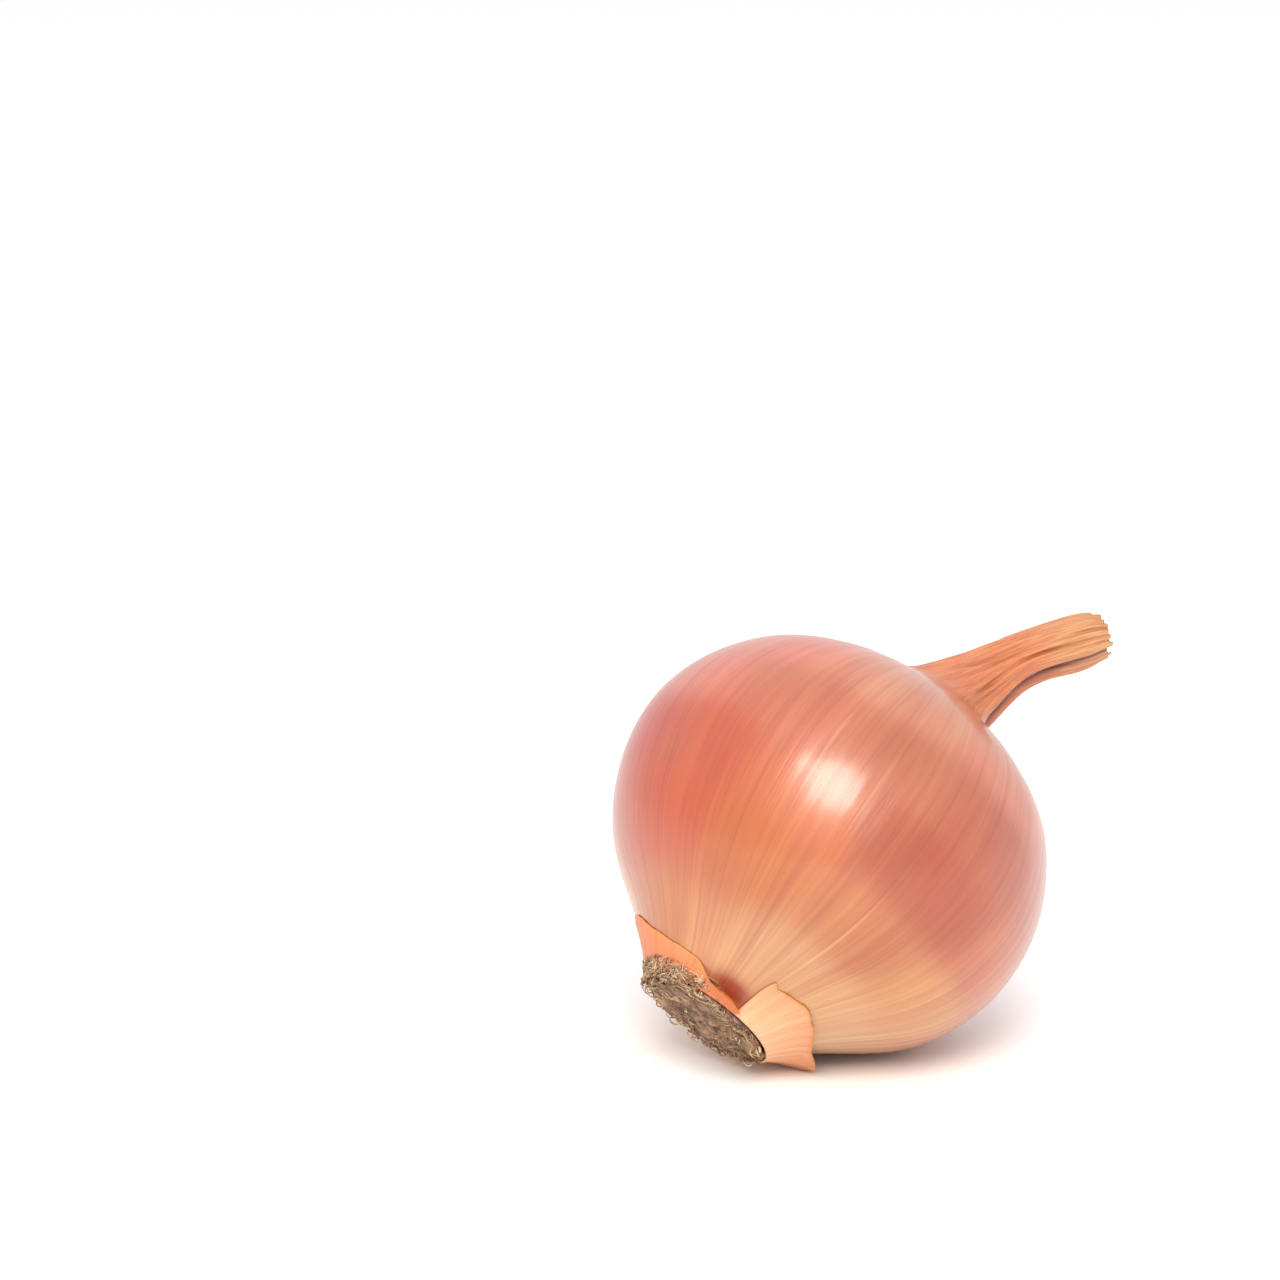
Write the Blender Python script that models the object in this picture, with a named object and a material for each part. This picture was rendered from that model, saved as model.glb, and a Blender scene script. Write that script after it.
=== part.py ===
"""A dry brown onion lying on its side, in metres, +Z up.

The bulb is a turned form with a flat root plate at one end and its skins drawn up
into a dry neck at the other. It is modelled in its own upright frame (root plate at
z = 0, neck upwards), then leaned over and set down on its flank and its roots.
Part frame: origin at the middle of the flat spot that the flank rests on, +X under
the neck, +Z up.
"""

import math

import bmesh
import bpy
import numpy as np
from mathutils import Matrix, Vector

MM = 0.001

# Driving dimensions, in millimetres and degrees.
BULB_RADIUS = 38.0          # at the widest ring
BASE_RADIUS = 11.7          # the bulb's foot, round the root plate
ROOT_PLATE_RADIUS = 10.6    # the plate sits in a shallow dish
ROOT_PLATE_DEPTH = 2.8
NECK_TOP = 96.9             # height of the cut neck in the upright frame
AXIS_TILT = 41.6            # lean of the bulb's axis above the table
LEAN_ANGLE = -144.0         # the side that the neck leans to, 0 is the upper side
FLAT_SPOT_PRESS = 0.60      # how much of the flank the resting spot takes off
SKIN_GAP = 0.35             # torn skin to bulb
SKIN_THICKNESS = 0.55
SKIN_FOOT = 0.2             # the torn skins start this high
ROOT_GAP = 0.30             # root tuft to root plate and dish
ROOT_TUFT_REACH = 0.9       # how far the tuft stands out of the dish

SEGMENTS = 64               # points round a ring

# Radius of the bulb and neck against height.
PROFILE = (
    (0.0, BASE_RADIUS), (7.0, 18.5), (15.4, 28.9), (25.2, 35.6), (35.0, BULB_RADIUS),
    (44.8, 37.0), (53.2, 33.1), (60.2, 26.6), (65.4, 16.9), (68.2, 10.4), (71.0, 7.6),
    (74.7, 6.1), (78.0, 5.2), (81.5, 4.5), (86.0, 4.15), (91.0, 4.2), (94.5, 4.0),
    (NECK_TOP, 3.4),
)
# How far the neck's middle stands off the bulb's axis.
NECK_OFFSET = (
    (0.0, 0.0), (62.0, 0.0), (65.4, 0.5), (68.2, 1.8), (71.0, 3.2), (74.7, 4.8), (78.0, 6.0),
    (81.5, 7.4), (86.0, 9.9), (91.0, 13.3), (94.5, 15.8), (NECK_TOP, 17.7),
)


def spline(stations):
    """A natural cubic spline through (x, y) stations."""
    x, y = (np.array(c, float) for c in zip(*stations))
    n, h = len(x), np.diff(x)
    system, right = np.eye(n), np.zeros(n)
    for i in range(1, n - 1):
        system[i, i - 1:i + 2] = h[i - 1], 2 * (h[i - 1] + h[i]), h[i]
        right[i] = 6 * ((y[i + 1] - y[i]) / h[i] - (y[i] - y[i - 1]) / h[i - 1])
    m = np.linalg.solve(system, right)

    def value(at):
        i = min(max(int(np.searchsorted(x, at)) - 1, 0), n - 2)
        a, b = x[i + 1] - at, at - x[i]
        return ((m[i] * a ** 3 + m[i + 1] * b ** 3) / (6 * h[i])
                + (y[i] / h[i] - m[i] * h[i] / 6) * a
                + (y[i + 1] / h[i] - m[i + 1] * h[i] / 6) * b)

    return value


radius_at = spline(PROFILE)
offset_at = spline(NECK_OFFSET)


def smooth(low, high, x):
    t = min(max((x - low) / (high - low), 0.0), 1.0)
    return t * t * (3 - 2 * t)


def lean_direction():
    """Unit vector of the leaning side, in the upright frame: x is the side, y is up."""
    angle = math.radians(LEAN_ANGLE)
    return Vector((math.sin(angle), math.cos(angle), 0))


def ring_centre(z):
    """The middle of the ring: the neck leans, and the bulb sways a little off its axis."""
    sway = 0.3 * math.cos(math.pi * (z - 13) / 32) * (1 - smooth(50, 62, z))
    return lean_direction() * (max(offset_at(z), 0.0) + sway) + Vector((0, 0, z))


def ring_turn(z):
    """How the ring is turned to stand square to the leaning neck."""
    step = 1.5
    slope = (offset_at(min(z + step, NECK_TOP)) - offset_at(z - step)) / (2 * step)
    angle = math.atan(max(slope, 0.0)) * smooth(66, 76, z)
    axis = Vector((0, 0, 1)).cross(lean_direction())
    return Matrix.Rotation(angle, 3, axis)


def ring_radius(z, angle):
    """Radius of the ring at an angle from the upper side, with the bulb's slight
    unevenness, and with the neck's flattening, folds and one deep cleft."""
    r = radius_at(z)
    bulb = 1 - smooth(60, 72, z)
    r *= 1 + bulb * smooth(0, 12, z) * (0.006 * math.cos(2 * angle + 0.7) + 0.005 * math.cos(3 * angle - 1.1))
    neck = smooth(66, 80, z)
    if neck > 0:
        turn = 0.018 * (z - 66)
        flat = 1 + 0.11 * neck * math.cos(2 * (angle - math.radians(36)))
        folds = (0.050 * math.cos(5 * angle + 0.6 + turn * 2)
                 + 0.045 * math.cos(8 * angle - 1.2 + turn * 3)
                 + 0.020 * math.cos(13 * angle + 2.0))
        away = (angle - math.radians(-128) - 0.006 * (z - 80) + math.pi) % (2 * math.pi) - math.pi
        cleft = 0.26 * math.exp(-(away / 0.17) ** 2) * smooth(68, 74, z) * (1 - 0.5 * smooth(88, 96, z))
        r *= flat * (1 + neck * folds) * (1 - cleft)
    return r


def bulb_point(z, angle):
    """A point of the skin in the upright frame, in millimetres."""
    r = ring_radius(z, angle)
    return ring_centre(z) + ring_turn(z) @ Vector((r * math.sin(angle), r * math.cos(angle), 0))


def outward(z, angle):
    """The skin's outward direction, from two short steps along it."""
    along = bulb_point(z + 0.4, angle) - bulb_point(z - 0.4, angle)
    round_ = bulb_point(z, angle + 0.02) - bulb_point(z, angle - 0.02)
    n = round_.cross(along).normalized()
    return n if n.dot(bulb_point(z, angle) - ring_centre(z)) > 0 else -n


def heights():
    """Ring heights: closer where the profile turns."""
    body = list(np.linspace(0.5, 7, 4)) + list(np.linspace(7, 60, 22))[1:]
    shoulder = list(np.linspace(60, 74, 11))[1:]
    neck = list(np.linspace(74, NECK_TOP, 14))[1:]
    return body + shoulder + neck


def placed(points):
    """Upright points in millimetres to leaned ones: the axis rises at AXIS_TILT over +X."""
    t = math.radians(AXIS_TILT)
    return [Vector((p.z * math.cos(t) - p.y * math.sin(t), p.x, p.z * math.sin(t) + p.y * math.cos(t)))
            for p in points]


def object_from(name, points, faces, material, shift):
    """One object with its mesh in place, in metres, faces outwards and shaded smooth."""
    mesh = bpy.data.meshes.new(name)
    mesh.from_pydata([tuple((p + shift) * MM) for p in placed(points)], [], faces)
    bm = bmesh.new()
    bm.from_mesh(mesh)
    bmesh.ops.recalc_face_normals(bm, faces=bm.faces)
    bmesh.ops.triangulate(bm, faces=[f for f in bm.faces if len(f.verts) > 4])
    bm.to_mesh(mesh)
    bm.free()
    obj = bpy.data.objects.new(name, mesh)
    bpy.context.scene.collection.objects.link(obj)
    mesh.shade_smooth()
    mesh.set_sharp_from_angle(angle=math.radians(50))
    mesh.materials.append(material)
    return obj


def material(name, colour, roughness):
    made = bpy.data.materials.new(name)
    made.use_nodes = True
    shader = made.node_tree.nodes["Principled BSDF"]
    shader.inputs["Base Color"].default_value = (*colour, 1)
    shader.inputs["Roughness"].default_value = roughness
    shader.inputs["Metallic"].default_value = 0.0
    return made


def loft(rings):
    """Faces between successive rings of the same count."""
    n = len(rings[0])
    points = [p for ring in rings for p in ring]
    faces = [(i * n + j, i * n + (j + 1) % n, (i + 1) * n + (j + 1) % n, (i + 1) * n + j)
             for i in range(len(rings) - 1) for j in range(n)]
    return points, faces


def bulb_and_neck_rings():
    angles = [2 * math.pi * k / SEGMENTS for k in range(SEGMENTS)]
    rings = [[bulb_point(z, a) for a in angles] for z in heights()]
    # The cut end of the neck is a shallow hollow.
    top = ring_centre(NECK_TOP)
    axis = ring_turn(NECK_TOP) @ Vector((0, 0, 1))
    for share, depth in ((0.72, 0.2), (0.45, 1.0), (0.2, 1.5)):
        rings.append([top + (p - top) * share - axis * depth for p in rings[len(heights()) - 1]])
    # The foot's rim turns in to the dish that holds the root plate.
    foot = []
    for radius, z in ((4.0, ROOT_PLATE_DEPTH), (ROOT_PLATE_RADIUS, ROOT_PLATE_DEPTH), (BASE_RADIUS - 0.6, 0.7)):
        foot.append([ring_centre(z) + Vector((radius * math.sin(a), radius * math.cos(a), 0)) for a in angles])
    return foot + rings


def bulb_and_neck(skin, shift):
    rings = bulb_and_neck_rings()
    points, faces = loft(rings)
    n = SEGMENTS
    faces.append(tuple(range(n)))
    faces.append(tuple(range(len(points) - n, len(points))))
    return object_from("bulb_and_neck", points, faces, skin, shift)


def root_tuft(roots, shift):
    """The mat of dried root stubs: a lumpy pad that fills the dish and stands out of it."""
    n = 44
    seat = ROOT_PLATE_DEPTH - ROOT_GAP
    wall = ROOT_PLATE_RADIUS - ROOT_GAP
    rings = []
    for radius, z in ((3.5, seat), (wall - 0.3, seat), (wall, 0.7), (wall + 0.45, -0.05), (wall + 0.3, -0.45),
                      (9.0, -ROOT_TUFT_REACH), (6.2, -ROOT_TUFT_REACH), (3.0, -ROOT_TUFT_REACH)):
        ring = []
        for k in range(n):
            a = 2 * math.pi * k / n
            ragged = lump = 0.0
            if z < 0:
                if radius > 9.5:
                    ragged = 0.35 * math.cos(7 * a + 1.1) + 0.3 * math.cos(11 * a - 0.4)
                else:
                    lump = 0.30 * math.cos(5 * a + radius) + 0.22 * math.cos(9 * a - 1.3 * radius)
            r = radius + ragged
            ring.append(ring_centre(0) + Vector((r * math.sin(a), r * math.cos(a), z + lump)))
        rings.append(ring)
    points, faces = loft(rings)
    faces.append(tuple(range(n)))
    faces.append(tuple(range(len(points) - n, len(points))))
    return object_from("root_tuft", points, faces, roots, shift)


def torn_skin(name, stations, paper, shift, steps):
    """A remnant of the shed outermost skin, held at the root plate's rim.

    stations gives (angle, torn edge's height, how far that edge stands off the bulb).
    """
    angles = [s[0] for s in stations]
    edge_at = spline([(s[0], s[1]) for s in stations])
    lift_at = spline([(s[0], s[2]) for s in stations])
    rows = 7
    inner, outer = [], []
    for i in range(steps + 1):
        deg = angles[0] + (angles[-1] - angles[0]) * i / steps
        edge, lift, a = max(edge_at(deg), 1.2), max(lift_at(deg), 0.0), math.radians(deg)
        for j in range(rows):
            v = j / (rows - 1)
            z = SKIN_FOOT + (edge - SKIN_FOOT) * v
            base, n = bulb_point(z, a), outward(z, a)
            near = SKIN_GAP + lift * v ** 2
            inner.append(base + n * near)
            outer.append(base + n * (near + SKIN_THICKNESS * (1 - 0.35 * v)))
    points, count = inner + outer, len(inner)
    faces = []
    for i in range(steps):
        for j in range(rows - 1):
            a, b = i * rows + j, (i + 1) * rows + j
            faces.append((a, a + 1, b + 1, b))
            faces.append((count + a, count + b, count + b + 1, count + a + 1))
        for j, k in ((0, 0), (rows - 1, rows - 1)):
            a, b = i * rows + j, (i + 1) * rows + k
            faces.append((a, b, count + b, count + a))
    for i in (0, steps):
        for j in range(rows - 1):
            a = i * rows + j
            faces.append((a, a + 1, count + a + 1, count + a))
    return object_from(name, points, faces, paper, shift)


def table_cutter():
    """A slab under z = 0 that leaves each piece a flat where it rests."""
    bpy.ops.mesh.primitive_cube_add(size=1, location=(0.02, 0, -0.01))
    slab = bpy.context.object
    slab.name = "table_cutter"
    slab.scale = (0.3, 0.3, 0.02)
    bpy.ops.object.transform_apply(location=False, rotation=False, scale=True)
    slab.hide_render = True
    slab.display_type = "WIRE"
    return slab


def main():
    for obj in list(bpy.data.objects):
        bpy.data.objects.remove(obj, do_unlink=True)

    skin = material("dry_brown_skin", (0.72, 0.33, 0.15), 0.38)
    roots = material("dried_roots", (0.30, 0.23, 0.15), 0.9)
    paper = material("torn_papery_skin", (0.80, 0.50, 0.28), 0.5)

    # Set the bulb down: its flank's lowest point goes FLAT_SPOT_PRESS under the table.
    flank = placed([bulb_point(z, math.pi + a) for z in np.linspace(8, 40, 129) for a in np.linspace(-0.4, 0.4, 33)])
    lowest = min(flank, key=lambda p: p.z)
    shift = Vector((-lowest.x, -lowest.y, -lowest.z - FLAT_SPOT_PRESS))

    pieces = [
        bulb_and_neck(skin, shift),
        root_tuft(roots, shift),
        torn_skin("torn_skin_left", (
            (-66, 2.0, 1.7), (-58, 3.1, 1.9), (-46, 3.9, 1.2), (-34, 3.6, 0.5), (-18, 3.9, 0.15), (0, 4.6, 0.1),
            (20, 5.7, 0.1), (46, 7.6, 0.12), (72, 8.6, 0.2), (92, 7.2, 0.3), (104, 3.0, 0.6)), paper, shift, 46),
        torn_skin("torn_skin_right", (
            (-216, 2.4, 0.6), (-208, 4.6, 1.6), (-198, 5.9, 2.7), (-188, 6.3, 2.6), (-178, 6.3, 2.4),
            (-168, 6.5, 2.6), (-158, 6.9, 2.9), (-148, 7.0, 2.2), (-138, 6.6, 1.1), (-120, 6.4, 0.4),
            (-100, 7.1, 0.3), (-84, 7.3, 0.2), (-74, 6.9, 0.12), (-66, 6.3, 0.10)), paper, shift, 50),
    ]
    slab = table_cutter()
    for piece in pieces:
        cut = piece.modifiers.new("rests_on_table", "BOOLEAN")
        cut.operation = "DIFFERENCE"
        cut.solver = "EXACT"
        cut.object = slab


main()
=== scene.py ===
"""Looks of the dry brown onion: its papery skin and neck, its root mat and the torn skins round its foot.

Everything is built in the row's frame, in metres. The bulb is described in its own upright
frame first, in millimetres (roots at z = 0, neck up), then leaned over and set down.
"""
import math

import bpy
import numpy as np
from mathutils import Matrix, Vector

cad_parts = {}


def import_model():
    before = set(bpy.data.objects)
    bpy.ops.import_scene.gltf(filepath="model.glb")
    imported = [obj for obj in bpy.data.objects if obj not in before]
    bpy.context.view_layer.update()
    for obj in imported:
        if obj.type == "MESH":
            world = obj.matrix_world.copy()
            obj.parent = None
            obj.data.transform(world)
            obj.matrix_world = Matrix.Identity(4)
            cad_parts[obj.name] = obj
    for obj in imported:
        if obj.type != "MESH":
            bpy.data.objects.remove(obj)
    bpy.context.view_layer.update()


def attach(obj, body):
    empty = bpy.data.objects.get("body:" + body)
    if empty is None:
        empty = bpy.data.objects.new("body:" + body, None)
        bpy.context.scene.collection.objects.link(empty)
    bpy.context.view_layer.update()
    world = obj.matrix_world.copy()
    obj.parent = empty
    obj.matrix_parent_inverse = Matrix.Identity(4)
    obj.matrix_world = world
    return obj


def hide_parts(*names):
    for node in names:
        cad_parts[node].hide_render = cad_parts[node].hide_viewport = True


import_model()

MM = 0.001
TAU = 2 * math.pi

# ---------------------------------------------------------------- the bulb's form, as in the CAD
BASE_RADIUS = 11.7
ROOT_PLATE_RADIUS = 10.6
ROOT_PLATE_DEPTH = 2.8
NECK_TOP = 96.9
AXIS_TILT = math.radians(41.6)
LEAN = math.radians(-144.0)
FLAT_SPOT_PRESS = 0.60

PROFILE = (
    (0.0, BASE_RADIUS), (7.0, 18.5), (15.4, 28.9), (25.2, 35.6), (35.0, 38.0),
    (44.8, 37.0), (53.2, 33.1), (60.2, 26.6), (65.4, 16.9), (68.2, 10.4), (71.0, 7.6),
    (74.7, 6.1), (78.0, 5.2), (81.5, 4.5), (86.0, 4.15), (91.0, 4.2), (94.5, 4.0),
    (NECK_TOP, 3.4),
)
NECK_OFFSET = (
    (0.0, 0.0), (62.0, 0.0), (65.4, 0.5), (68.2, 1.8), (71.0, 3.2), (74.7, 4.8), (78.0, 6.0),
    (81.5, 7.4), (86.0, 9.9), (91.0, 13.3), (94.5, 15.8), (NECK_TOP, 17.7),
)


def spline(stations):
    """A natural cubic spline through (x, y) stations, for arrays."""
    x, y = (np.array(c, float) for c in zip(*stations))
    n, h = len(x), np.diff(x)
    system, right = np.eye(n), np.zeros(n)
    for i in range(1, n - 1):
        system[i, i - 1:i + 2] = h[i - 1], 2 * (h[i - 1] + h[i]), h[i]
        right[i] = 6 * ((y[i + 1] - y[i]) / h[i] - (y[i] - y[i - 1]) / h[i - 1])
    m = np.linalg.solve(system, right)

    def value(at):
        at = np.asarray(at, float)
        i = np.clip(np.searchsorted(x, at) - 1, 0, n - 2)
        a, b, hh = x[i + 1] - at, at - x[i], h[i]
        return ((m[i] * a ** 3 + m[i + 1] * b ** 3) / (6 * hh)
                + (y[i] / hh - m[i] * hh / 6) * a + (y[i + 1] / hh - m[i + 1] * hh / 6) * b)

    return value


radius_at = spline(PROFILE)
offset_at = spline(NECK_OFFSET)


def smooth(low, high, x):
    t = np.clip((np.asarray(x, float) - low) / (high - low), 0.0, 1.0)
    return t * t * (3 - 2 * t)


def bell(x, width):
    return np.exp(-(np.asarray(x, float) / width) ** 2)


def wrap(a):
    """An angle brought to -pi..pi."""
    return (np.asarray(a, float) + math.pi) % TAU - math.pi


def waves(seed, low, high, count, power=0.0):
    """A smooth pattern round the bulb that also drifts along it: f(angle, z) about -1..1."""
    rng = np.random.default_rng(seed)
    k = rng.integers(low, high + 1, count)
    phase, drift = rng.uniform(0, TAU, count), rng.normal(0, 1, count)
    wob, wphase = rng.uniform(0.02, 0.16, count), rng.uniform(0, TAU, count)
    size = rng.uniform(0.5, 1.0, count) * (k / low) ** (-power)
    size /= math.sqrt((size ** 2).sum() / 2) * 1.6

    def value(angle, z, twist=0.0):
        out = np.zeros(np.broadcast(angle, z).shape)
        for i in range(count):
            out += size[i] * np.cos(k[i] * (angle + twist * z) + phase[i] + 1.3 * drift[i] * np.sin(wob[i] * z + wphase[i]))
        return out

    return value


LEAN_DIR = np.array([math.sin(LEAN), math.cos(LEAN), 0.0])
TURN_AXIS = np.cross([0.0, 0.0, 1.0], LEAN_DIR)


def ring_centre(z):
    z = np.asarray(z, float)
    sway = 0.3 * np.cos(math.pi * (z - 13) / 32) * (1 - smooth(50, 62, z))
    off = np.maximum(offset_at(z), 0.0) + sway
    out = off[..., None] * LEAN_DIR
    out[..., 2] += z
    return out


def turned(z, v):
    """v turned as the ring at z is, to stand square to the leaning neck."""
    step = 1.5
    slope = (offset_at(np.minimum(z + step, NECK_TOP)) - offset_at(z - step)) / (2 * step)
    angle = np.arctan(np.maximum(slope, 0.0)) * smooth(66, 76, z)
    c, s = np.cos(angle)[..., None], np.sin(angle)[..., None]
    k = np.broadcast_to(TURN_AXIS, v.shape)
    return v * c + np.cross(k, v) * s + k * (v @ TURN_AXIS)[..., None] * (1 - c)


def plain_radius(z, angle):
    """The CAD's radius without the neck's folds."""
    r = radius_at(z)
    bulb = 1 - smooth(60, 72, z)
    r = r * (1 + bulb * smooth(0, 12, z) * (0.006 * np.cos(2 * angle + 0.7) + 0.005 * np.cos(3 * angle - 1.1)))
    neck = smooth(66, 80, z)
    return r * (1 + 0.11 * neck * np.cos(2 * (angle - math.radians(36))))


def point(z, angle, r):
    """The upright point at radius r of the ring at z."""
    v = np.stack([r * np.sin(angle), r * np.cos(angle), np.zeros_like(r)], -1)
    return ring_centre(z) + turned(z, v)


def leaned(p):
    """Upright millimetres to leaned ones."""
    c, s = math.cos(AXIS_TILT), math.sin(AXIS_TILT)
    x, y, z = p[..., 0], p[..., 1], p[..., 2]
    return np.stack([z * c - y * s, x, z * s + y * c], -1)


_z, _a = np.meshgrid(np.linspace(8, 40, 129), math.pi + np.linspace(-0.4, 0.4, 33), indexing="ij")
_flank = leaned(point(_z, _a, plain_radius(_z, _a))).reshape(-1, 3)
_low = _flank[_flank[:, 2].argmin()]
SHIFT = np.array([-_low[0], -_low[1], -_low[2] - FLAT_SPOT_PRESS])


def placed(p):
    """Upright millimetres to the row's frame in metres."""
    return (leaned(p) + SHIFT) * MM


# ---------------------------------------------------------------- meshes
def mesh_object(name, verts, faces, attributes=(), colours=()):
    mesh = bpy.data.meshes.new(name)
    mesh.from_pydata(np.asarray(verts).tolist(), [], faces)
    for key, values in attributes:
        layer = mesh.attributes.new(key, "FLOAT", "POINT")
        layer.data.foreach_set("value", np.asarray(values, np.float32).ravel())
    for key, values in colours:
        layer = mesh.attributes.new(key, "FLOAT_COLOR", "POINT")
        rgba = np.ones((len(verts), 4), np.float32)
        rgba[:, :3] = values
        layer.data.foreach_set("color", rgba.ravel())
    mesh.shade_smooth()
    mesh.update()
    obj = bpy.data.objects.new(name, mesh)
    bpy.context.scene.collection.objects.link(obj)
    return obj


def grid_faces(rows, cols, closed=True, start=0):
    faces = []
    for i in range(rows - 1):
        for j in range(cols if closed else cols - 1):
            a, b = start + i * cols + j, start + i * cols + (j + 1) % cols
            faces.append((a, b, b + cols, a + cols))
    return faces


# ---------------------------------------------------------------- bulb and neck
SEGMENTS = 448

soft_lobes = waves(11, 2, 9, 9)
vein_lines = waves(12, 60, 150, 60)
flutes = waves(13, 14, 40, 22)
neck_folds = waves(21, 4, 9, 7)
neck_ridges = waves(22, 14, 34, 22)
neck_fibres = waves(23, 48, 120, 60)
tip_rag = waves(24, 3, 15, 14, 0.3)
CLEFT = math.radians(-119)


def skin_radius(z, angle):
    """The plain form with its relief: faint flutes on the bulb, gathered folds on the neck."""
    r = plain_radius(z, angle)
    bulb = (1 - smooth(58, 66, z)) * smooth(1, 9, z)
    r = r + bulb * (0.08 * soft_lobes(angle, z * 0.5) + 0.020 * flutes(angle, z * 0.4) + 0.012 * vein_lines(angle, z * 0.3))
    # The skin gathers as it is drawn up to the neck.
    gather = smooth(58, 68, z)
    neck = smooth(65, 76, z)
    r = r * (1 + gather * (0.012 + 0.030 * neck) * neck_ridges(angle, z, 0.012)
             + neck * (0.060 * neck_folds(angle, z, 0.014) + 0.010 * neck_fibres(angle, z, 0.014)))
    away = wrap(angle - CLEFT - 0.006 * (z - 80))
    cleft = 0.36 * bell(away, 0.20) * smooth(67, 74, z) * (1 - 0.55 * smooth(88, 96, z))
    # Two lesser folds run beside it, and one opens on the upper side near the bulb.
    cleft = cleft + 0.12 * bell(wrap(angle - math.radians(-62) - 0.010 * (z - 80)), 0.10) * smooth(68, 76, z) * (1 - smooth(86, 93, z))
    cleft = cleft + 0.13 * bell(wrap(angle - math.radians(-20) + 0.020 * (z - 80)), 0.09) * smooth(70, 77, z)
    cleft = cleft + 0.12 * bell(wrap(angle - math.radians(72) - 0.008 * (z - 80)), 0.12) * smooth(69, 77, z)
    cleft = cleft + 0.14 * bell(wrap(angle - math.radians(160)), 0.13) * smooth(68, 76, z) * (1 - smooth(90, 95, z))
    r = r * (1 - cleft)
    # A dried outer layer ends in a step part of the way up the neck.
    edge = 83.2 + 1.4 * np.cos(angle + 0.6) + 0.7 * tip_rag(angle, 0 * z)
    r = r + 0.12 * smooth(-0.35, 0.35, z - edge) * bell(wrap(angle - math.radians(20)), 1.25)
    return r


def build_skin():
    body = np.concatenate([np.linspace(0.5, 58, 150), np.linspace(58, 72, 62)[1:], np.linspace(72, NECK_TOP, 120)[1:]])
    angle = np.linspace(0, TAU, SEGMENTS, endpoint=False)
    z, a = np.meshgrid(body, angle, indexing="ij")
    # The cut end is ragged: the last stretch of each line is a little longer or shorter.
    rag = 0.30 * tip_rag(a, 0 * z) + 0.55 * np.cos(a - 0.9) + 0.30 * np.cos(2 * a + 1.0)
    zz = z + smooth(88, NECK_TOP, z) * rag
    pts = point(np.minimum(zz, NECK_TOP), a, skin_radius(z, a))
    axis = turned(np.full((1,), NECK_TOP), np.array([[0.0, 0.0, 1.0]]))[0]
    pts = pts + np.maximum(zz - NECK_TOP, 0)[..., None] * axis
    rows = [pts]
    level = [z]
    # Nested dried layers inside the cut end.
    top = ring_centre(np.array(NECK_TOP))
    rim = pts[-1]
    spread = rim - top
    along = spread @ axis
    flat = spread - along[:, None] * axis
    inner = []
    for share, depth, seed in ((0.93, -0.15, 0), (0.86, 1.3, 0), (0.80, 2.4, 1), (0.74, 2.2, 1), (0.68, 0.1, 2), (0.62, 0.0, 2),
                               (0.56, 1.6, 3), (0.50, 2.3, 3), (0.43, 2.0, 4), (0.36, 0.5, 4), (0.28, 0.5, 5), (0.20, 1.7, 5), (0.08, 2.2, 5)):
        lift = 0.22 * waves(30 + seed, 3, 22, 14)(angle, np.zeros_like(angle))
        squeeze = 1 + 0.06 * waves(40 + seed, 2, 9, 6)(angle, np.zeros_like(angle))
        inner.append(top + flat * (share * squeeze)[:, None] + (along * share - depth + lift * (0.3 < share))[:, None] * axis)
        level.append(np.full((1, SEGMENTS), NECK_TOP + 0.4 + (1 - share) * 4))
    rows.append(np.array(inner))
    # The foot turns in to the dish round the root plate.
    foot = []
    for radius, depth in ((3.0, ROOT_PLATE_DEPTH), (ROOT_PLATE_RADIUS, ROOT_PLATE_DEPTH), (BASE_RADIUS - 1.0, 1.2), (BASE_RADIUS - 0.55, 0.55)):
        foot.append(point(np.full(SEGMENTS, depth), angle, np.full(SEGMENTS, radius)))
        level.insert(0, np.full((1, SEGMENTS), 0.3))
    rows.insert(0, np.array(foot))
    grid = np.concatenate(rows)
    levels = np.concatenate(level)
    count = len(grid)
    verts = placed(grid).reshape(-1, 3)
    # Where the flank rests it is pressed flat.
    verts[:, 2] = np.maximum(verts[:, 2], 0.0)
    faces = grid_faces(count, SEGMENTS)
    faces.append(tuple(range(SEGMENTS))[::-1])
    faces.append(tuple(range(len(verts) - SEGMENTS, len(verts))))
    angles = np.broadcast_to(angle, (count, SEGMENTS))
    return verts, faces, angles, levels


# Colours of the skin, in linear light, placed by angle round the bulb (degrees, 0 is the upper
# side, positive towards +Y) and height from the roots (millimetres).
def srgb(r, g, b):
    return tuple((c / 255 / 12.92) if c / 255 <= 0.04045 else ((c / 255 + 0.055) / 1.055) ** 2.4 for c in (r, g, b))


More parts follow.
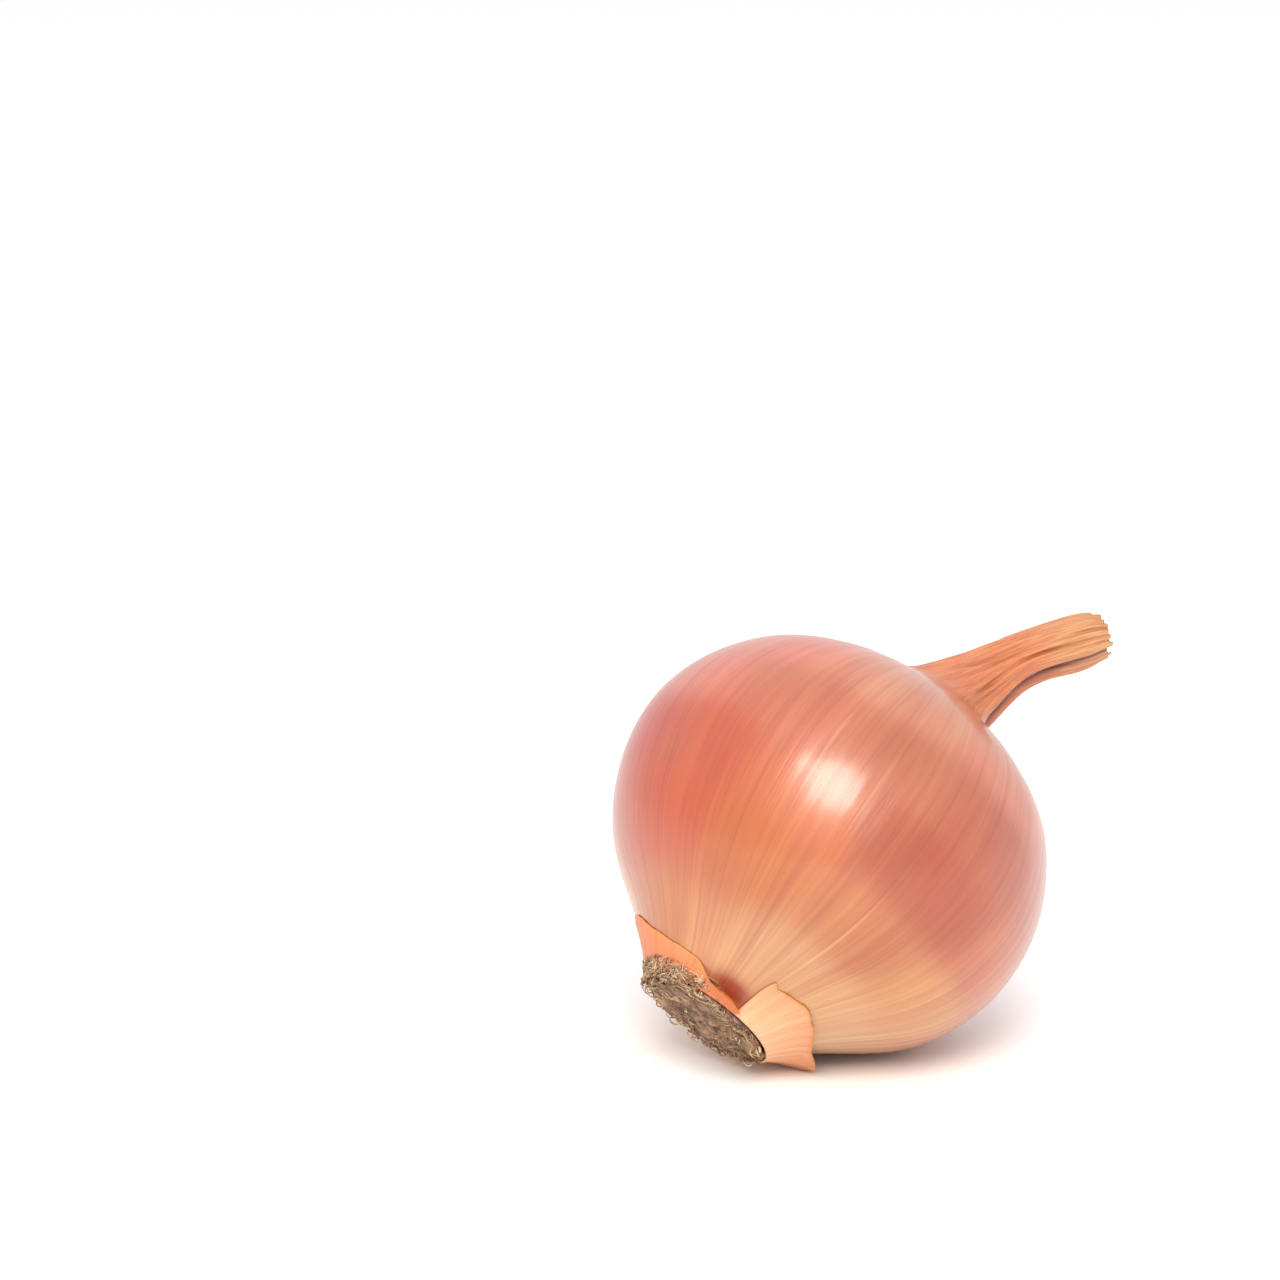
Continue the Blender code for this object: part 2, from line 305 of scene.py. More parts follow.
SKIN_SPOTS = (
    # angle, height, sRGB colour, reach
    (-30, 3, (221, 156, 104), 1.0), (-60, 8, (211, 153, 102), 1.0), (-95, 8, (225, 174, 116), 1.0),
    (-140, 8, (226, 172, 116), 1.0), (180, 10, (220, 162, 108), 1.0), (120, 8, (220, 152, 98), 1.0),
    (60, 6, (210, 134, 76), 1.0), (10, 5, (208, 124, 62), 1.0),
    (-70, 18, (196, 114, 60), 1.0), (-110, 18, (222, 156, 92), 1.0), (-150, 20, (222, 150, 94), 1.0),
    (-30, 18, (199, 105, 34), 1.0), (5, 20, (203, 80, 26), 1.0), (40, 20, (200, 84, 38), 1.0), (90, 20, (208, 116, 64), 1.0),
    (140, 20, (218, 134, 80), 1.0), (175, 22, (218, 138, 84), 1.0),
    (-40, 28, (204, 108, 52), 1.0), (-62, 30, (175, 77, 33), 1.0), (-85, 30, (181, 78, 38), 1.0), (-110, 30, (211, 119, 74), 1.0),
    (-140, 32, (210, 114, 74), 1.0), (0, 30, (198, 86, 44), 1.0), (30, 32, (204, 62, 32), 1.0), (90, 34, (202, 86, 52), 1.0),
    (150, 34, (206, 104, 68), 1.0), (-170, 34, (208, 112, 74), 1.0),
    (-20, 44, (198, 109, 76), 1.0), (-55, 44, (188, 103, 66), 1.0), (-85, 44, (188, 96, 66), 1.0), (-120, 46, (203, 112, 92), 1.0),
    (15, 44, (220, 120, 95), 1.0), (60, 46, (208, 98, 76), 1.0), (120, 46, (204, 102, 78), 1.0), (170, 46, (204, 104, 76), 1.0),
    (-40, 56, (210, 138, 103), 1.0), (-90, 56, (216, 131, 102), 1.0), (-140, 56, (212, 120, 90), 1.0), (0, 56, (221, 122, 97), 1.0),
    (60, 56, (210, 112, 88), 1.0), (140, 56, (208, 112, 84), 1.0),
    (-90, 64, (211, 122, 80), 1.0), (0, 64, (223, 120, 80), 1.0), (90, 64, (212, 112, 76), 1.0), (180, 64, (210, 114, 78), 1.0),
    (-90, 72, (203, 120, 67), 1.0), (0, 72, (209, 127, 86), 1.0), (90, 72, (206, 118, 72), 1.0), (180, 72, (204, 114, 70), 1.0),
    (-60, 82, (212, 128, 76), 1.0), (60, 82, (210, 130, 80), 1.0), (180, 82, (202, 114, 72), 1.0),
    (-60, 92, (213, 154, 104), 1.0), (60, 92, (210, 148, 100), 1.0), (180, 92, (204, 136, 92), 1.0),
    (0, 98, (203, 143, 96), 1.0), (120, 98, (212, 152, 106), 1.0), (-120, 98, (214, 156, 108), 1.0),
)


def skin_colour(angles, levels):
    """A smooth blend of the spots: nearness is measured along the skin."""
    total = np.zeros(angles.shape + (3,))
    weight = np.zeros(angles.shape)
    scale = np.minimum(np.maximum(radius_at(np.clip(levels, 0, NECK_TOP)), 12), 38)
    for deg, height, colour, reach in SKIN_SPOTS:
        da = wrap(angles - math.radians(deg)) * scale
        dz = (levels - height) * 1.5
        w = 1.0 / ((da * 0.8) ** 2 + dz ** 2 + 30.0 * reach) ** 2.6
        total += w[..., None] * np.array(srgb(*colour)) * 0.70
        weight += w
    colour = total / weight[..., None]
    # A dark red-brown notch where the outer skin has torn away beside the roots: partly the deeper skin's own colour,
    # partly painted shade under the curled flap.
    deg = np.degrees(wrap(angles))
    torn_notch_and_shade = bell(deg + 52, 17) * bell(levels - 2.5 - 0.02 * (deg + 52), 1.45)
    torn_notch_and_shade = np.clip(1.35 * torn_notch_and_shade, 0, 1)[..., None]
    return colour * (1 - torn_notch_and_shade) + np.array(srgb(166, 66, 26)) * 0.7 * torn_notch_and_shade


# ---------------------------------------------------------------- node helpers
class Nodes:
    """A short way to write a node tree."""

    def __init__(self, name):
        self.material = bpy.data.materials.new(name)
        self.material.use_nodes = True
        self.tree = self.material.node_tree
        self.shader = self.tree.nodes["Principled BSDF"]

    def link(self, a, b):
        self.tree.links.new(a, b)

    def put(self, value, socket):
        if hasattr(value, "is_output"):
            self.link(value, socket)
        elif value is not None:
            socket.default_value = value

    def attribute(self, name, colour=False):
        n = self.tree.nodes.new("ShaderNodeAttribute")
        n.attribute_name = name
        return n.outputs["Color" if colour else "Fac"]

    def math(self, operation, a, b=None, c=None, clamp=False):
        n = self.tree.nodes.new("ShaderNodeMath")
        n.operation = operation
        n.use_clamp = clamp
        for value, socket in zip((a, b, c), n.inputs):
            self.put(value, socket)
        return n.outputs[0]

    def combine(self, x, y, z):
        n = self.tree.nodes.new("ShaderNodeCombineXYZ")
        for value, socket in zip((x, y, z), n.inputs):
            self.put(value, socket)
        return n.outputs[0]

    def noise(self, vector, scale, detail=3.0, roughness=0.55, distortion=0.0):
        n = self.tree.nodes.new("ShaderNodeTexNoise")
        self.put(vector, n.inputs["Vector"])
        n.inputs["Scale"].default_value = scale
        n.inputs["Detail"].default_value = detail
        n.inputs["Roughness"].default_value = roughness
        n.inputs["Distortion"].default_value = distortion
        return n.outputs["Fac"]

    def ramp(self, fac, *stops):
        n = self.tree.nodes.new("ShaderNodeValToRGB")
        ramp = n.color_ramp
        ramp.elements[0].position, ramp.elements[1].position = stops[0][0], stops[-1][0]
        ramp.elements[0].color = ramp.elements[1].color = (0, 0, 0, 1)
        for at, _ in stops[1:-1]:
            ramp.elements.new(at)
        for element, (at, colour) in zip(sorted(ramp.elements, key=lambda e: e.position), stops):
            grey = isinstance(colour, (int, float))
            element.color = (colour, colour, colour, 1) if grey else (*colour, 1)
        self.put(fac, n.inputs["Fac"])
        return n.outputs["Color"]

    def mix(self, fac, a, b, blend="MIX"):
        n = self.tree.nodes.new("ShaderNodeMix")
        n.data_type = "RGBA"
        n.blend_type = blend
        n.clamp_result = False
        self.put(fac, n.inputs[0])
        for value, socket in ((a, n.inputs[6]), (b, n.inputs[7])):
            if isinstance(value, tuple) and len(value) == 3:
                value = (*value, 1)
            self.put(value, socket)
        return n.outputs[2]

    def bump(self, height, strength, distance, normal=None):
        n = self.tree.nodes.new("ShaderNodeBump")
        n.inputs["Strength"].default_value = strength
        n.inputs["Distance"].default_value = distance
        self.put(height, n.inputs["Height"])
        if normal is not None:
            self.put(normal, n.inputs["Normal"])
        return n.outputs["Normal"]

    def set(self, **values):
        for key, value in values.items():
            self.put(value, self.shader.inputs[key.replace("_", " ")])


def streak_space(n, round_scale, along_scale):
    """Coordinates that run round and along the bulb, for streaks that follow its meridians."""
    return n.combine(n.math("MULTIPLY", n.attribute("dir_x"), round_scale),
                     n.math("MULTIPLY", n.attribute("dir_y"), round_scale),
                     n.math("MULTIPLY", n.attribute("along"), along_scale))


def skin_material():
    n = Nodes("onion_skin")
    tint = n.attribute("tint", colour=True)
    neck = n.attribute("neck")
    fine = n.noise(streak_space(n, 26.0, 0.030), 1.0, 4.0, 0.62)
    fine_b = n.noise(streak_space(n, 72.0, 0.045), 1.0, 3.0, 0.65)
    wide = n.noise(streak_space(n, 7.0, 0.022), 1.0, 3.0, 0.55, 0.4)
    cloud = n.noise(streak_space(n, 2.2, 0.05), 1.0, 3.0, 0.5, 0.5)
    # Darker and lighter streaks along the meridians.
    colour = n.mix(n.ramp(fine, (0.36, 0.0), (0.50, 0.0), (0.70, 0.55)), tint,
                   n.mix(1.0, tint, (0.80, 0.58, 0.50), "MULTIPLY"))
    colour = n.mix(n.ramp(fine, (0.28, 0.50), (0.46, 0.0)), colour, n.mix(1.0, colour, (1.16, 1.28, 1.34), "MULTIPLY"))
    colour = n.mix(n.ramp(wide, (0.42, 0.0), (0.66, 0.55)), colour, n.mix(1.0, colour, (0.90, 0.68, 0.62), "MULTIPLY"))
    colour = n.mix(n.ramp(wide, (0.30, 0.5), (0.46, 0.0)), colour, n.mix(1.0, colour, (1.08, 1.18, 1.15), "MULTIPLY"))
    colour = n.mix(n.ramp(cloud, (0.45, 0.0), (0.62, 0.4)), colour, n.mix(1.0, colour, (0.98, 0.84, 0.86), "MULTIPLY"))
    colour = n.mix(n.ramp(fine_b, (0.50, 0.0), (0.72, 0.60)), colour, n.mix(1.0, colour, (0.78, 0.60, 0.52), "MULTIPLY"))
    # A few pale scratches.
    scratch = n.noise(streak_space(n, 19.0, 0.035), 1.0, 0.0)
    colour = n.mix(n.ramp(scratch, (0.80, 0.0), (0.90, 0.18)), colour, srgb(246, 196, 152))
    # The neck's dry folds: straw on the ridges, and dark in the hollows, which is painted shade.
    fold_shade = n.attribute("fold_shade")
    neck_fine = n.noise(streak_space(n, 13.0, 0.16), 1.0, 5.0, 0.65, 0.25)
    dry = n.mix(n.ramp(neck_fine, (0.36, 0.0), (0.66, 1.0)), n.mix(1.0, tint, (1.24, 1.28, 1.20), "MULTIPLY"),
                n.mix(1.0, tint, (0.86, 0.54, 0.40), "MULTIPLY"))
    colour = n.mix(neck, colour, dry)
    # Painted shade: the fold hollows and the inside of the cut end darkened to red-brown.
    colour = n.mix(n.ramp(fold_shade, (0.0, 0.0), (1.0, 0.88)), colour, srgb(112, 40, 26))
    rough = n.math("ADD", n.math("MULTIPLY", fine, 0.16), n.math("MULTIPLY", neck, 0.18))
    rough = n.math("ADD", rough, 0.34)
    n.set(Base_Color=colour, Roughness=rough, IOR=1.6)
    n.shader.inputs["Coat Weight"].default_value = 0.7
    n.shader.inputs["Coat Roughness"].default_value = 0.21
    height = n.math("ADD", n.math("MULTIPLY", fine, 0.6), n.math("MULTIPLY", fine_b, 0.4))
    normal = n.bump(height, 0.30, 0.0004)
    grain = n.noise(streak_space(n, 90.0, 0.9), 1.0, 2.0, 0.6)
    n.set(Normal=n.bump(grain, 0.10, 0.0002, normal))
    return n.material


def paper_material():
    n = Nodes("torn_papery_skin")
    tint = n.attribute("tint", colour=True)
    edge = n.attribute("edge")
    fine = n.noise(streak_space(n, 26.0, 0.05), 1.0, 4.0, 0.62)
    wide = n.noise(streak_space(n, 8.0, 0.08), 1.0, 3.0, 0.55, 0.3)
    colour = n.mix(n.ramp(fine, (0.40, 0.0), (0.68, 0.6)), tint, n.mix(1.0, tint, (0.84, 0.66, 0.52), "MULTIPLY"))
    colour = n.mix(n.ramp(wide, (0.32, 0.5), (0.50, 0.0)), colour, n.mix(1.0, colour, (1.10, 1.16, 1.16), "MULTIPLY"))
    colour = n.mix(n.ramp(edge, (0.62, 0.0), (0.97, 0.80)), colour, srgb(204, 132, 66))
    n.set(Base_Color=colour, Roughness=n.math("ADD", n.math("MULTIPLY", fine, 0.2), 0.36), IOR=1.48)
    n.set(Normal=n.bump(n.math("ADD", n.math("MULTIPLY", fine, 0.6), n.math("MULTIPLY", wide, 0.5)), 0.35, 0.0005))
    return n.material


def root_material():
    n = Nodes("dried_roots")
    shade = n.attribute("shade")
    coords = n.tree.nodes.new("ShaderNodeTexCoord").outputs["Object"]
    grit = n.noise(coords, 1900.0, 4.0, 0.7)
    patch = n.noise(coords, 420.0, 3.0, 0.6)
    colour = n.ramp(shade, (0.0, srgb(84, 60, 50)), (0.35, srgb(134, 106, 86)), (0.62, srgb(170, 140, 110)), (0.85, srgb(206, 178, 140)), (1.0, srgb(232, 210, 176)))
    colour = n.mix(n.ramp(grit, (0.38, 0.55), (0.56, 0.0)), colour, n.mix(1.0, colour, (0.52, 0.44, 0.40), "MULTIPLY"))
    colour = n.mix(n.ramp(patch, (0.45, 0.0), (0.62, 0.6)), colour, n.mix(1.0, colour, (0.94, 0.74, 0.72), "MULTIPLY"))
    n.set(Base_Color=colour, Roughness=0.88, IOR=1.4)
    n.set(Normal=n.bump(grit, 0.5, 0.0003))
    return n.material


def along_attributes(angles, levels):
    return [("dir_x", np.sin(angles).ravel()), ("dir_y", np.cos(angles).ravel()), ("along", np.asarray(levels).ravel())]


verts, faces, angles, levels = build_skin()
# Painted shade for the neck: how deep each point lies in a fold below the plain form, and the inside of the cut end.
fold_shade_depth = np.clip((plain_radius(np.clip(levels, 0, NECK_TOP), angles) - skin_radius(np.clip(levels, 0, NECK_TOP), angles))
                  / np.maximum(plain_radius(np.clip(levels, 0, NECK_TOP), angles), 1) / 0.20 - 0.14, 0, 1) * smooth(66, 72, levels)
cut_end_shade = smooth(NECK_TOP + 0.5, NECK_TOP + 1.2, levels) * 0.6
skin = mesh_object("onion_skin", verts, faces,
                   along_attributes(angles, levels) + [("neck", smooth(64, 74, levels).ravel()),
                                                       ("fold_shade", np.maximum(fold_shade_depth, cut_end_shade).ravel())],
                   [("tint", skin_colour(angles, levels).reshape(-1, 3))])
skin.data.materials.append(skin_material())
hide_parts("bulb_and_neck")
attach(skin, "root")


# ---------------------------------------------------------------- torn skins
def outward(z, angle):
    """The skin's outward direction in the upright frame."""
    up = point(z + 0.4, angle, plain_radius(z + 0.4, angle)) - point(z - 0.4, angle, plain_radius(z - 0.4, angle))
    across = point(z, angle + 0.02, plain_radius(z, angle + 0.02)) - point(z, angle - 0.02, plain_radius(z, angle - 0.02))
    out = np.cross(across, up)
    out /= np.linalg.norm(out, axis=-1, keepdims=True)
    flip = np.sign((out * (point(z, angle, plain_radius(z, angle)) - ring_centre(z))).sum(-1, keepdims=True))
    return out * flip


def torn_skin(name, node, stations, columns, rows, seed, tints, ragged=1.0, thickness=0.16, foot=0.1):
    """A thin torn remnant. stations gives (angle, edge height, stand-off of the edge, curl)."""
    first, last = stations[0][0], stations[-1][0]
    edge_at = spline([(s[0], s[1]) for s in stations])
    lift_at = spline([(s[0], s[2]) for s in stations])
    curl_at = spline([(s[0], s[3]) for s in stations])
    rng = np.random.default_rng(seed)
    deg = np.linspace(first, last, columns)
    jag = np.zeros(columns)
    for size, wave in ((0.10, 7), (0.07, 17), (0.045, 41), (0.03, 95)):
        jag += ragged * size * np.interp(np.linspace(0, wave, columns), np.arange(wave + 1), rng.normal(0, 1, wave + 1))
    edge = np.maximum(edge_at(deg) + jag, foot + 0.7)
    lift = np.maximum(lift_at(deg), 0.0)
    curl = curl_at(deg)
    v = np.linspace(0, 1, rows)
    vv, dd = np.meshgrid(v, deg, indexing="ij")
    a = np.radians(dd)
    z = foot + (edge - foot)[None, :] * vv
    wrinkle = 0.10 * waves(seed + 1, 18, 44, 16)(a, z) + 0.05 * waves(seed + 2, 50, 110, 20)(a, z)
    base = point(z, a, skin_radius(z, a))
    out = outward(z, a)
    near = 0.12 + lift[None, :] * vv ** 1.8 + np.maximum(wrinkle, -0.1) * (0.25 + 0.35 * vv + 0.5 * np.minimum(lift, 1)[None, :])
    # The edge curls back: it turns outwards and down towards the roots.
    back = (curl[None, :] * smooth(0.62, 1.0, vv) ** 1.5)
    down = np.zeros_like(base)
    down[..., 2] = -1.0
    inner = base + out * (near + back * 0.5)[..., None] + down * (back * 0.8)[..., None]
    thick = thickness * (1 - 0.35 * vv)
    outer = inner + out * thick[..., None]
    pts = np.concatenate([outer.reshape(-1, 3), inner.reshape(-1, 3)])
    count = rows * columns
    faces = []
    for i in range(rows - 1):
        for j in range(columns - 1):
            p, q = i * columns + j, (i + 1) * columns + j
            faces.append((p, q, q + 1, p + 1))
            faces.append((count + p, count + p + 1, count + q + 1, count + q))
    for j in range(columns - 1):
        p, q = j, (rows - 1) * columns + j
        faces.append((p, p + 1, count + p + 1, count + p))
        faces.append((q, count + q, count + q + 1, q + 1))
    for i in range(rows - 1):
        p, q = i * columns, i * columns + columns - 1
        faces.append((p, count + p, count + p + columns, p + columns))
        faces.append((q, q + columns, count + q + columns, count + q))
    verts = placed(pts)
    verts[:, 2] = np.maximum(verts[:, 2], 0.0)
    both = lambda x: np.concatenate([np.asarray(x).ravel()] * 2)
    side = np.minimum(vv * 0 + np.linspace(0, 1, columns)[None, :], 1 - np.linspace(0, 1, columns)[None, :])
    below = (edge - foot)[None, :] * (1 - vv)
    # The rim is broad and rolled where it stands off near the table.
    broad = 0.75 + 0.75 * bell(dd + 128, 22)
    rimmed = np.maximum(1 - smooth(0.10, 1.0, below / broad), smooth(0.012, 0.0, side))
    top_tint, foot_tint = (np.array(srgb(*c)) for c in tints)
    tint = top_tint * vv[..., None] + foot_tint * (1 - vv[..., None])
    colour = np.concatenate([tint.reshape(-1, 3)] * 2)
    colour[count:] *= np.array([0.80, 0.62, 0.50])
    obj = mesh_object(name, verts, faces,
                      [("dir_x", both(np.sin(a))), ("dir_y", both(np.cos(a))), ("along", both(z)), ("edge", both(rimmed))],
                      [("tint", colour)])
    obj.data.materials.append(paper)
    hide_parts(node)
    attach(obj, "root")
    return obj


paper = paper_material()
torn_skin("torn_skin_left_paper", "torn_skin_left", (
    (-66, 1.2, 1.1, 0.3), (-61, 1.9, 1.6, 0.6), (-55, 2.5, 1.9, 0.95), (-48, 2.75, 1.9, 1.05), (-41, 2.7, 1.6, 0.8), (-34, 2.65, 1.0, 0.4),
    (-28, 2.9, 0.4, 0.0), (-22, 3.45, 0.06, 0.0), (-14, 3.8, 0.0, 0.0), (-5, 4.12, 0.0, 0.0), (4, 4.45, 0.0, 0.0), (14, 5.0, 0.0, 0.0),
    (25, 5.8, 0.0, 0.0), (39, 7.3, 0.0, 0.0), (55, 8.3, 0.0, 0.0), (72, 8.4, 0.05, 0.0), (92, 7.0, 0.2, 0.1), (104, 3.0, 0.4, 0.1)),
    340, 34, 51, ((214, 128, 80), (206, 118, 74)), 0.30)
torn_skin("torn_skin_right_paper", "torn_skin_right", (
    (-216, 2.4, 0.6, 0.1), (-208, 4.6, 1.6, 0.1), (-198, 5.9, 2.6, 0.0), (-188, 6.3, 2.5, 0.0), (-178, 6.3, 2.3, 0.0), (-168, 6.5, 2.5, 0.0),
    (-158, 6.9, 2.7, 0.0), (-148, 6.9, 2.1, 0.2), (-138, 6.3, 1.1, 0.35), (-124, 5.8, 0.50, 0.30), (-107, 6.4, 0.30, 0.25), (-94, 7.05, 0.20, 0.15), (-86, 7.15, 0.10, 0.0),
    (-81, 6.85, 0.06, 0.0), (-74, 6.6, 0.04, 0.0), (-68, 6.6, 0.03, 0.0), (-64.5, 5.6, 0.03, 0.0), (-63.8, 4.4, 0.05, 0.0)),
    340, 34, 61, ((214, 148, 110), (224, 174, 136)), 0.55)


# ---------------------------------------------------------------- root mat
def tube(path, radii, sides=6):
    """A bent tapering tube with closed ends, as vertices and faces."""
    path = np.asarray(path)
    tangent = np.gradient(path, axis=0)
    tangent /= np.linalg.norm(tangent, axis=1, keepdims=True) + 1e-9
    helper = np.array([0.3, 0.5, 0.81])
    u = np.cross(tangent, helper)
    u /= np.linalg.norm(u, axis=1, keepdims=True) + 1e-9
    w = np.cross(tangent, u)
    turn = np.linspace(0, TAU, sides, endpoint=False)
    ring = (u[:, None] * np.cos(turn)[None, :, None] + w[:, None] * np.sin(turn)[None, :, None]) * np.asarray(radii)[:, None, None]
    verts = (path[:, None] + ring).reshape(-1, 3)
    faces = grid_faces(len(path), sides)
    faces.append(tuple(range(sides))[::-1])
    faces.append(tuple(range(len(verts) - sides, len(verts))))
    return verts, faces


def build_roots():
    rng = np.random.default_rng(7)
    n, rings = 240, 84
    verts, faces, shade = [], [], []
    # The root plate: a lumpy corky disc in the foot's dish.
    angle = np.linspace(0, TAU, n, endpoint=False)
    radius, depth = [], []
    for i in range(rings):
        t = i / (rings - 1)
        if t < 0.08:
            radius.append(10.1)
            depth.append(2.3 - 1.6 * t / 0.08)
        elif t < 0.16:
            radius.append(10.1 + 1.15 * float(smooth(0.08, 0.14, t)))
            depth.append(0.7 - 0.9 * float(smooth(0.08, 0.16, t)))
        else:
            share = 1 - (t - 0.16) / 0.84
            radius.append(max(11.25 * share, 0.02))
            depth.append(-0.20 - 0.35 * math.sqrt(max(0.0, 1 - share ** 2)))
    rr, aa = np.meshgrid(np.array(radius), angle, indexing="ij")
    x, y = rr * np.sin(aa), rr * np.cos(aa)
    rough, tone = np.zeros_like(rr), np.full(rr.shape, 0.40)
    for size, count, height in ((2.4, 26, 0.34), (1.1, 130, 0.34), (0.55, 460, 0.30), (0.28, 1000, 0.16)):
        for _ in range(count):
            cx, cy = rng.uniform(-11.5, 11.5, 2)
            if cx * cx + cy * cy > 132:
                continue
            stretch, spin = rng.uniform(0.6, 1.7), rng.uniform(0, math.pi)
            u = ((x - cx) * math.cos(spin) + (y - cy) * math.sin(spin)) / (size * stretch)
            w = (-(x - cx) * math.sin(spin) + (y - cy) * math.cos(spin)) / (size / stretch)
            bump = np.exp(-(u * u + w * w))
            rough += height * rng.uniform(-1, 1) * bump
            tone += rng.normal(0, 0.13) * bump
    rough *= np.repeat(smooth(0.10, 0.20, np.linspace(0, 1, rings))[:, None], n, 1)
    flat = ring_centre(np.zeros_like(rr))
    pad = flat + np.stack([x, y, np.array(depth)[:, None] - rough], -1)
    verts.append(pad.reshape(-1, 3))
    # Lumps that stand out are painted lighter and the pits between them darker, painted shade over a random tone.
    shade.append(np.clip(tone + 0.35 * rough, 0.02, 0.9).ravel())
    faces += grid_faces(rings, n)
    faces.append(tuple(range(n))[::-1])
    faces.append(tuple(range(rings * n - n, rings * n)))
    start = rings * n
    centre = ring_centre(np.array(0.0))

    def add(path, radii, tone, sides=6):
        nonlocal start
        v, f = tube(path, radii, sides)
        verts.append(v)
        shade.append(np.full(len(v), tone) + rng.normal(0, 0.03, len(v)))
        faces.extend([tuple(k + start for k in face) for face in f])
        start += len(v)

    # Dried root stubs, crowded towards the rim, matted over the plate.
    for i in range(1500):
        radius = 10.9 * math.sqrt(rng.uniform(0.15, 1.0)) if i % 2 else rng.uniform(8.4, 11.3)
        a = rng.uniform(0, TAU)
        if radius < 6.5 and rng.uniform() < 0.6:
            continue
        length = rng.uniform(0.8, 3.8)
        steps = 10
        heading = rng.uniform(0, TAU)
        outwards = np.array([math.sin(a), math.cos(a), 0.0])
        p = centre + outwards * radius + np.array([0, 0, -0.1])
        path = [p.copy()]
        bend = rng.normal(0, 0.30)
        rise = rng.uniform(0.3, 1.5)
        for k in range(steps):
            heading += bend + rng.normal(0, 0.50)
            flat = np.array([math.sin(heading), math.cos(heading), 0.0])
            lift = rise * (1 - 2.1 * k / steps) * 0.55
            p = p + (flat * 0.85 + np.array([0, 0, -lift])) * length / steps
            away = p[:2] - centre[:2]
            reach = np.linalg.norm(away)
            if reach > 11.5:
                p[:2] = centre[:2] + away * 11.5 / reach
            p[2] = min(max(p[2], -1.7), -0.05)
            path.append(p.copy())
        width = rng.uniform(0.06, 0.17)
        tone = rng.choice([0.14, 0.34, 0.52, 0.68, 0.84, 0.98], p=[0.10, 0.20, 0.25, 0.22, 0.15, 0.08])
        add(path, width * np.linspace(1.0, 0.5, len(path)) * rng.uniform(0.8, 1.2, len(path)), tone, 5)
    # On the upper side the mat creeps over the foot of the outer skin.
    for i in range(260):
        deg = rng.uniform(-34, 60)
        a = math.radians(deg)
        z = rng.uniform(-0.5, 1.5) * float(smooth(64, 40, deg)) * float(smooth(-52, -30, deg)) + rng.uniform(-0.3, 0.1)
        path = []
        da, dz = rng.normal(0, 0.020), rng.normal(0, 0.13)
        for k in range(9):
            r = float(radius_at(max(z, 0.0))) + 0.50 + 0.25 * math.sin(0.7 * k + i)
            path.append(ring_centre(np.array(z)) + np.array([math.sin(a) * r, math.cos(a) * r, 0.0]))
            da, dz = da + rng.normal(0, 0.007), dz + rng.normal(0, 0.06)
            a, z = a + da, min(max(z + dz, -1.0), 1.9)
        tone = rng.choice([0.25, 0.50, 0.70, 0.85, 0.97], p=[0.2, 0.25, 0.25, 0.2, 0.1])
        add(path, rng.uniform(0.07, 0.17) * np.linspace(1.0, 0.5, 9), tone, 5)
    # Longer strands that lie round the rim.
    for i in range(46):
        a = rng.uniform(0, TAU)
        span = rng.uniform(0.15, 0.42) * rng.choice([-1, 1])
        radius = rng.uniform(10.0, 11.6)
        z0 = rng.uniform(-1.2, 0.3)
        path = []
        for k in range(12):
            t = k / 11
            aa = a + span * t
            r = radius + 0.35 * math.sin(3 * t + i) - 0.7 * t * (i % 3 == 0)
            path.append(centre + np.array([math.sin(aa) * r, math.cos(aa) * r, z0 - 0.5 * math.sin(math.pi * t) * rng.uniform(0.7, 1.0)]))
        add(path, rng.uniform(0.06, 0.14) * np.sin(np.linspace(0.35, 2.9, 12)) + 0.04, rng.uniform(0.45, 1.0))
    return np.concatenate(verts), faces, np.clip(np.concatenate(shade), 0, 1)


verts, faces, shade = build_roots()
verts = placed(verts)
verts[:, 2] = np.maximum(verts[:, 2], 0.0)
roots = mesh_object("root_mat", verts, faces, [("shade", shade)])
roots.data.materials.append(root_material())
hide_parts("root_tuft")
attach(roots, "root")


# ---------------------------------------------------------------- floor, light and camera
def floor():
    bpy.ops.mesh.primitive_plane_add(size=6, location=(0, 0, 0))
    obj = bpy.context.object
    obj.name = "floor"
    n = Nodes("pale_floor")
    n.set(Base_Color=(0.96, 0.96, 0.96, 1), Roughness=0.9)
    n.shader.inputs["Specular IOR Level"].default_value = 0.1
    obj.data.materials.append(n.material)


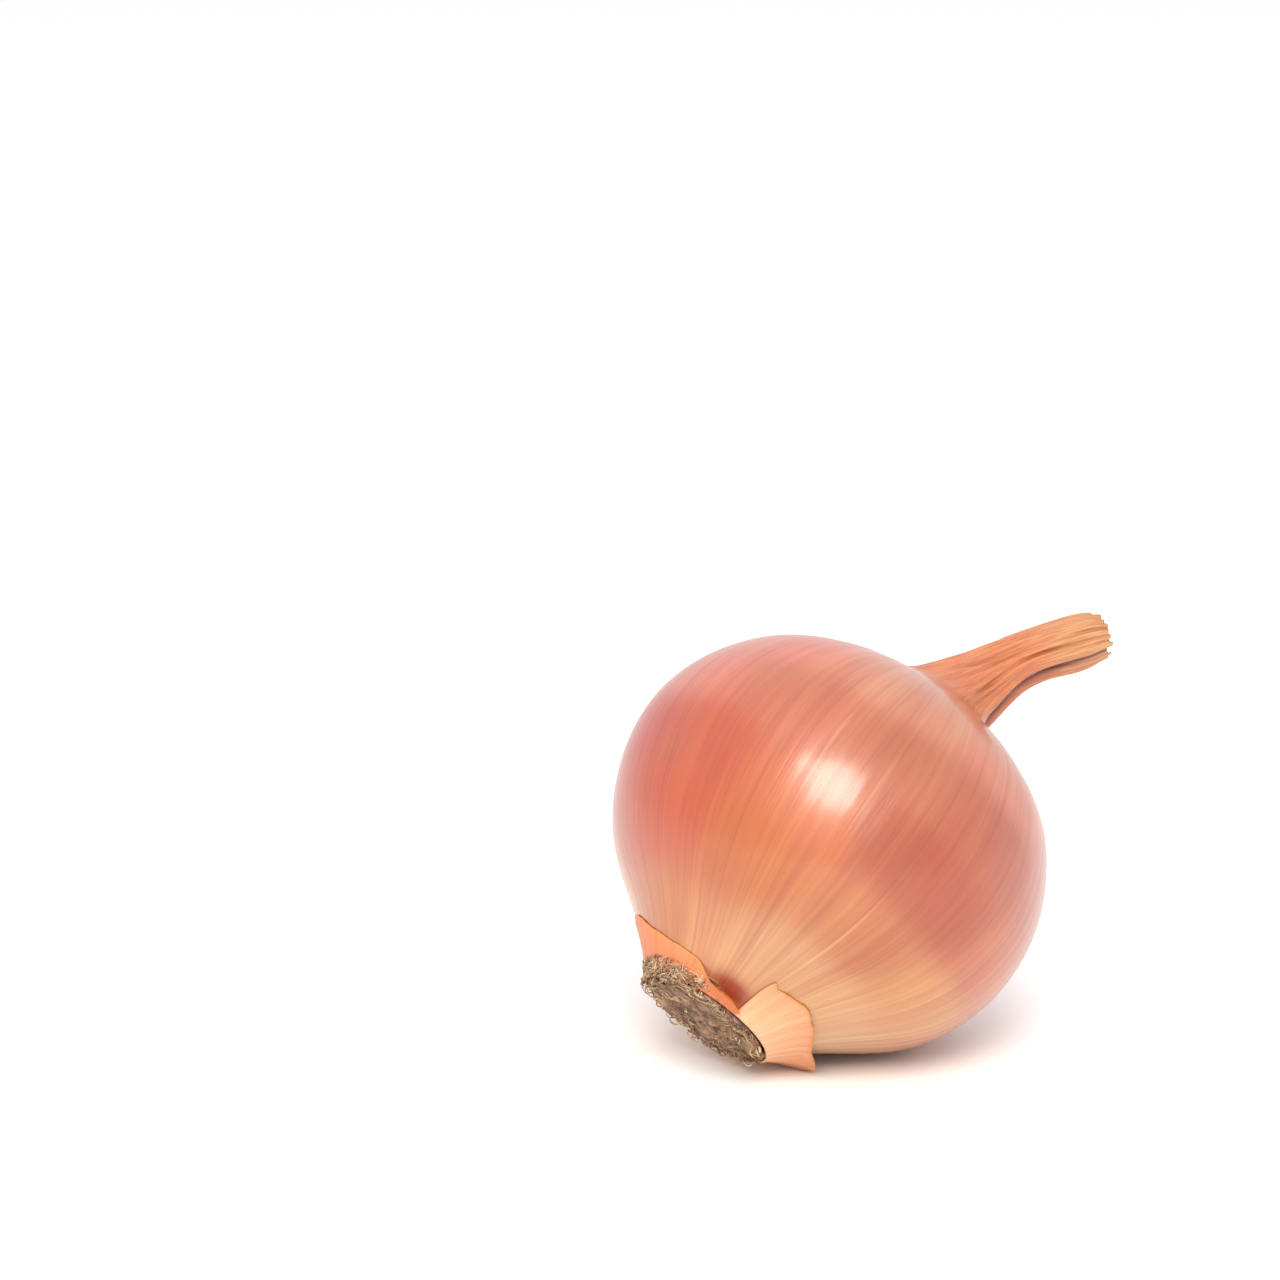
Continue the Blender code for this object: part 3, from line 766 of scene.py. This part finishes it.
def world():
    made = bpy.data.worlds.new("studio")
    made.use_nodes = True
    made.node_tree.nodes["Background"].inputs["Color"].default_value = (1.0, 1.0, 1.0, 1)
    made.node_tree.nodes["Background"].inputs["Strength"].default_value = 1.0
    bpy.context.scene.world = made


def area(name, azimuth, elevation, distance, size, power, colour=(1, 1, 1)):
    """A soft square light that looks at the onion. Azimuth 0 is in front, -90 is at -X."""
    az, el = math.radians(azimuth), math.radians(elevation)
    back = Vector((math.sin(az) * math.cos(el), -math.cos(az) * math.cos(el), math.sin(el)))
    light = bpy.data.lights.new(name, "AREA")
    light.shape = "SQUARE"
    light.size = size
    light.energy = power
    light.color = colour
    obj = bpy.data.objects.new(name, light)
    bpy.context.scene.collection.objects.link(obj)
    obj.location = Vector((0, 0, 0.03)) + back * distance
    obj.rotation_euler = back.to_track_quat("Z", "Y").to_euler()


def camera():
    """The photograph's view: its line of sight to the bulb's middle, and the bulb low and right in the frame."""
    az, el = math.radians(-43.17), math.radians(16)
    back = Vector((math.sin(az) * math.cos(el), -math.cos(az) * math.cos(el), math.sin(el)))
    middle = Vector(placed(np.array([0.0, 0.0, 35.0])))
    distance = 0.9
    across, down = 822.5, 853.1            # where the bulb's middle falls in the 1280 frame
    scale = 5970.0                         # frame units to the metre at the bulb
    spot = middle + back * distance
    axis = back.copy()
    for _ in range(12):
        right = Vector((0, 0, 1)).cross(axis).normalized()
        up = axis.cross(right)
        d = middle - spot
        depth = -d.dot(axis)
        focal = scale * depth
        x, y = 640 + focal * d.dot(right) / depth, 640 - focal * d.dot(up) / depth
        axis = (axis + right * ((across - x) / focal) - up * ((down - y) / focal)).normalized()
    data = bpy.data.cameras.new("camera")
    data.sensor_width = 36
    data.lens = 36 * focal / 1280
    data.clip_start = 0.01
    data.clip_end = 50
    obj = bpy.data.objects.new("camera", data)
    bpy.context.scene.collection.objects.link(obj)
    obj.location = spot
    obj.rotation_euler = axis.to_track_quat("Z", "Y").to_euler()
    bpy.context.scene.camera = obj


floor()
world()
area("key_softbox", -44, 41, 0.9, 0.42, 7.6, (1.0, 0.96, 0.89))
camera()
bpy.context.scene.view_settings.view_transform = "Standard"
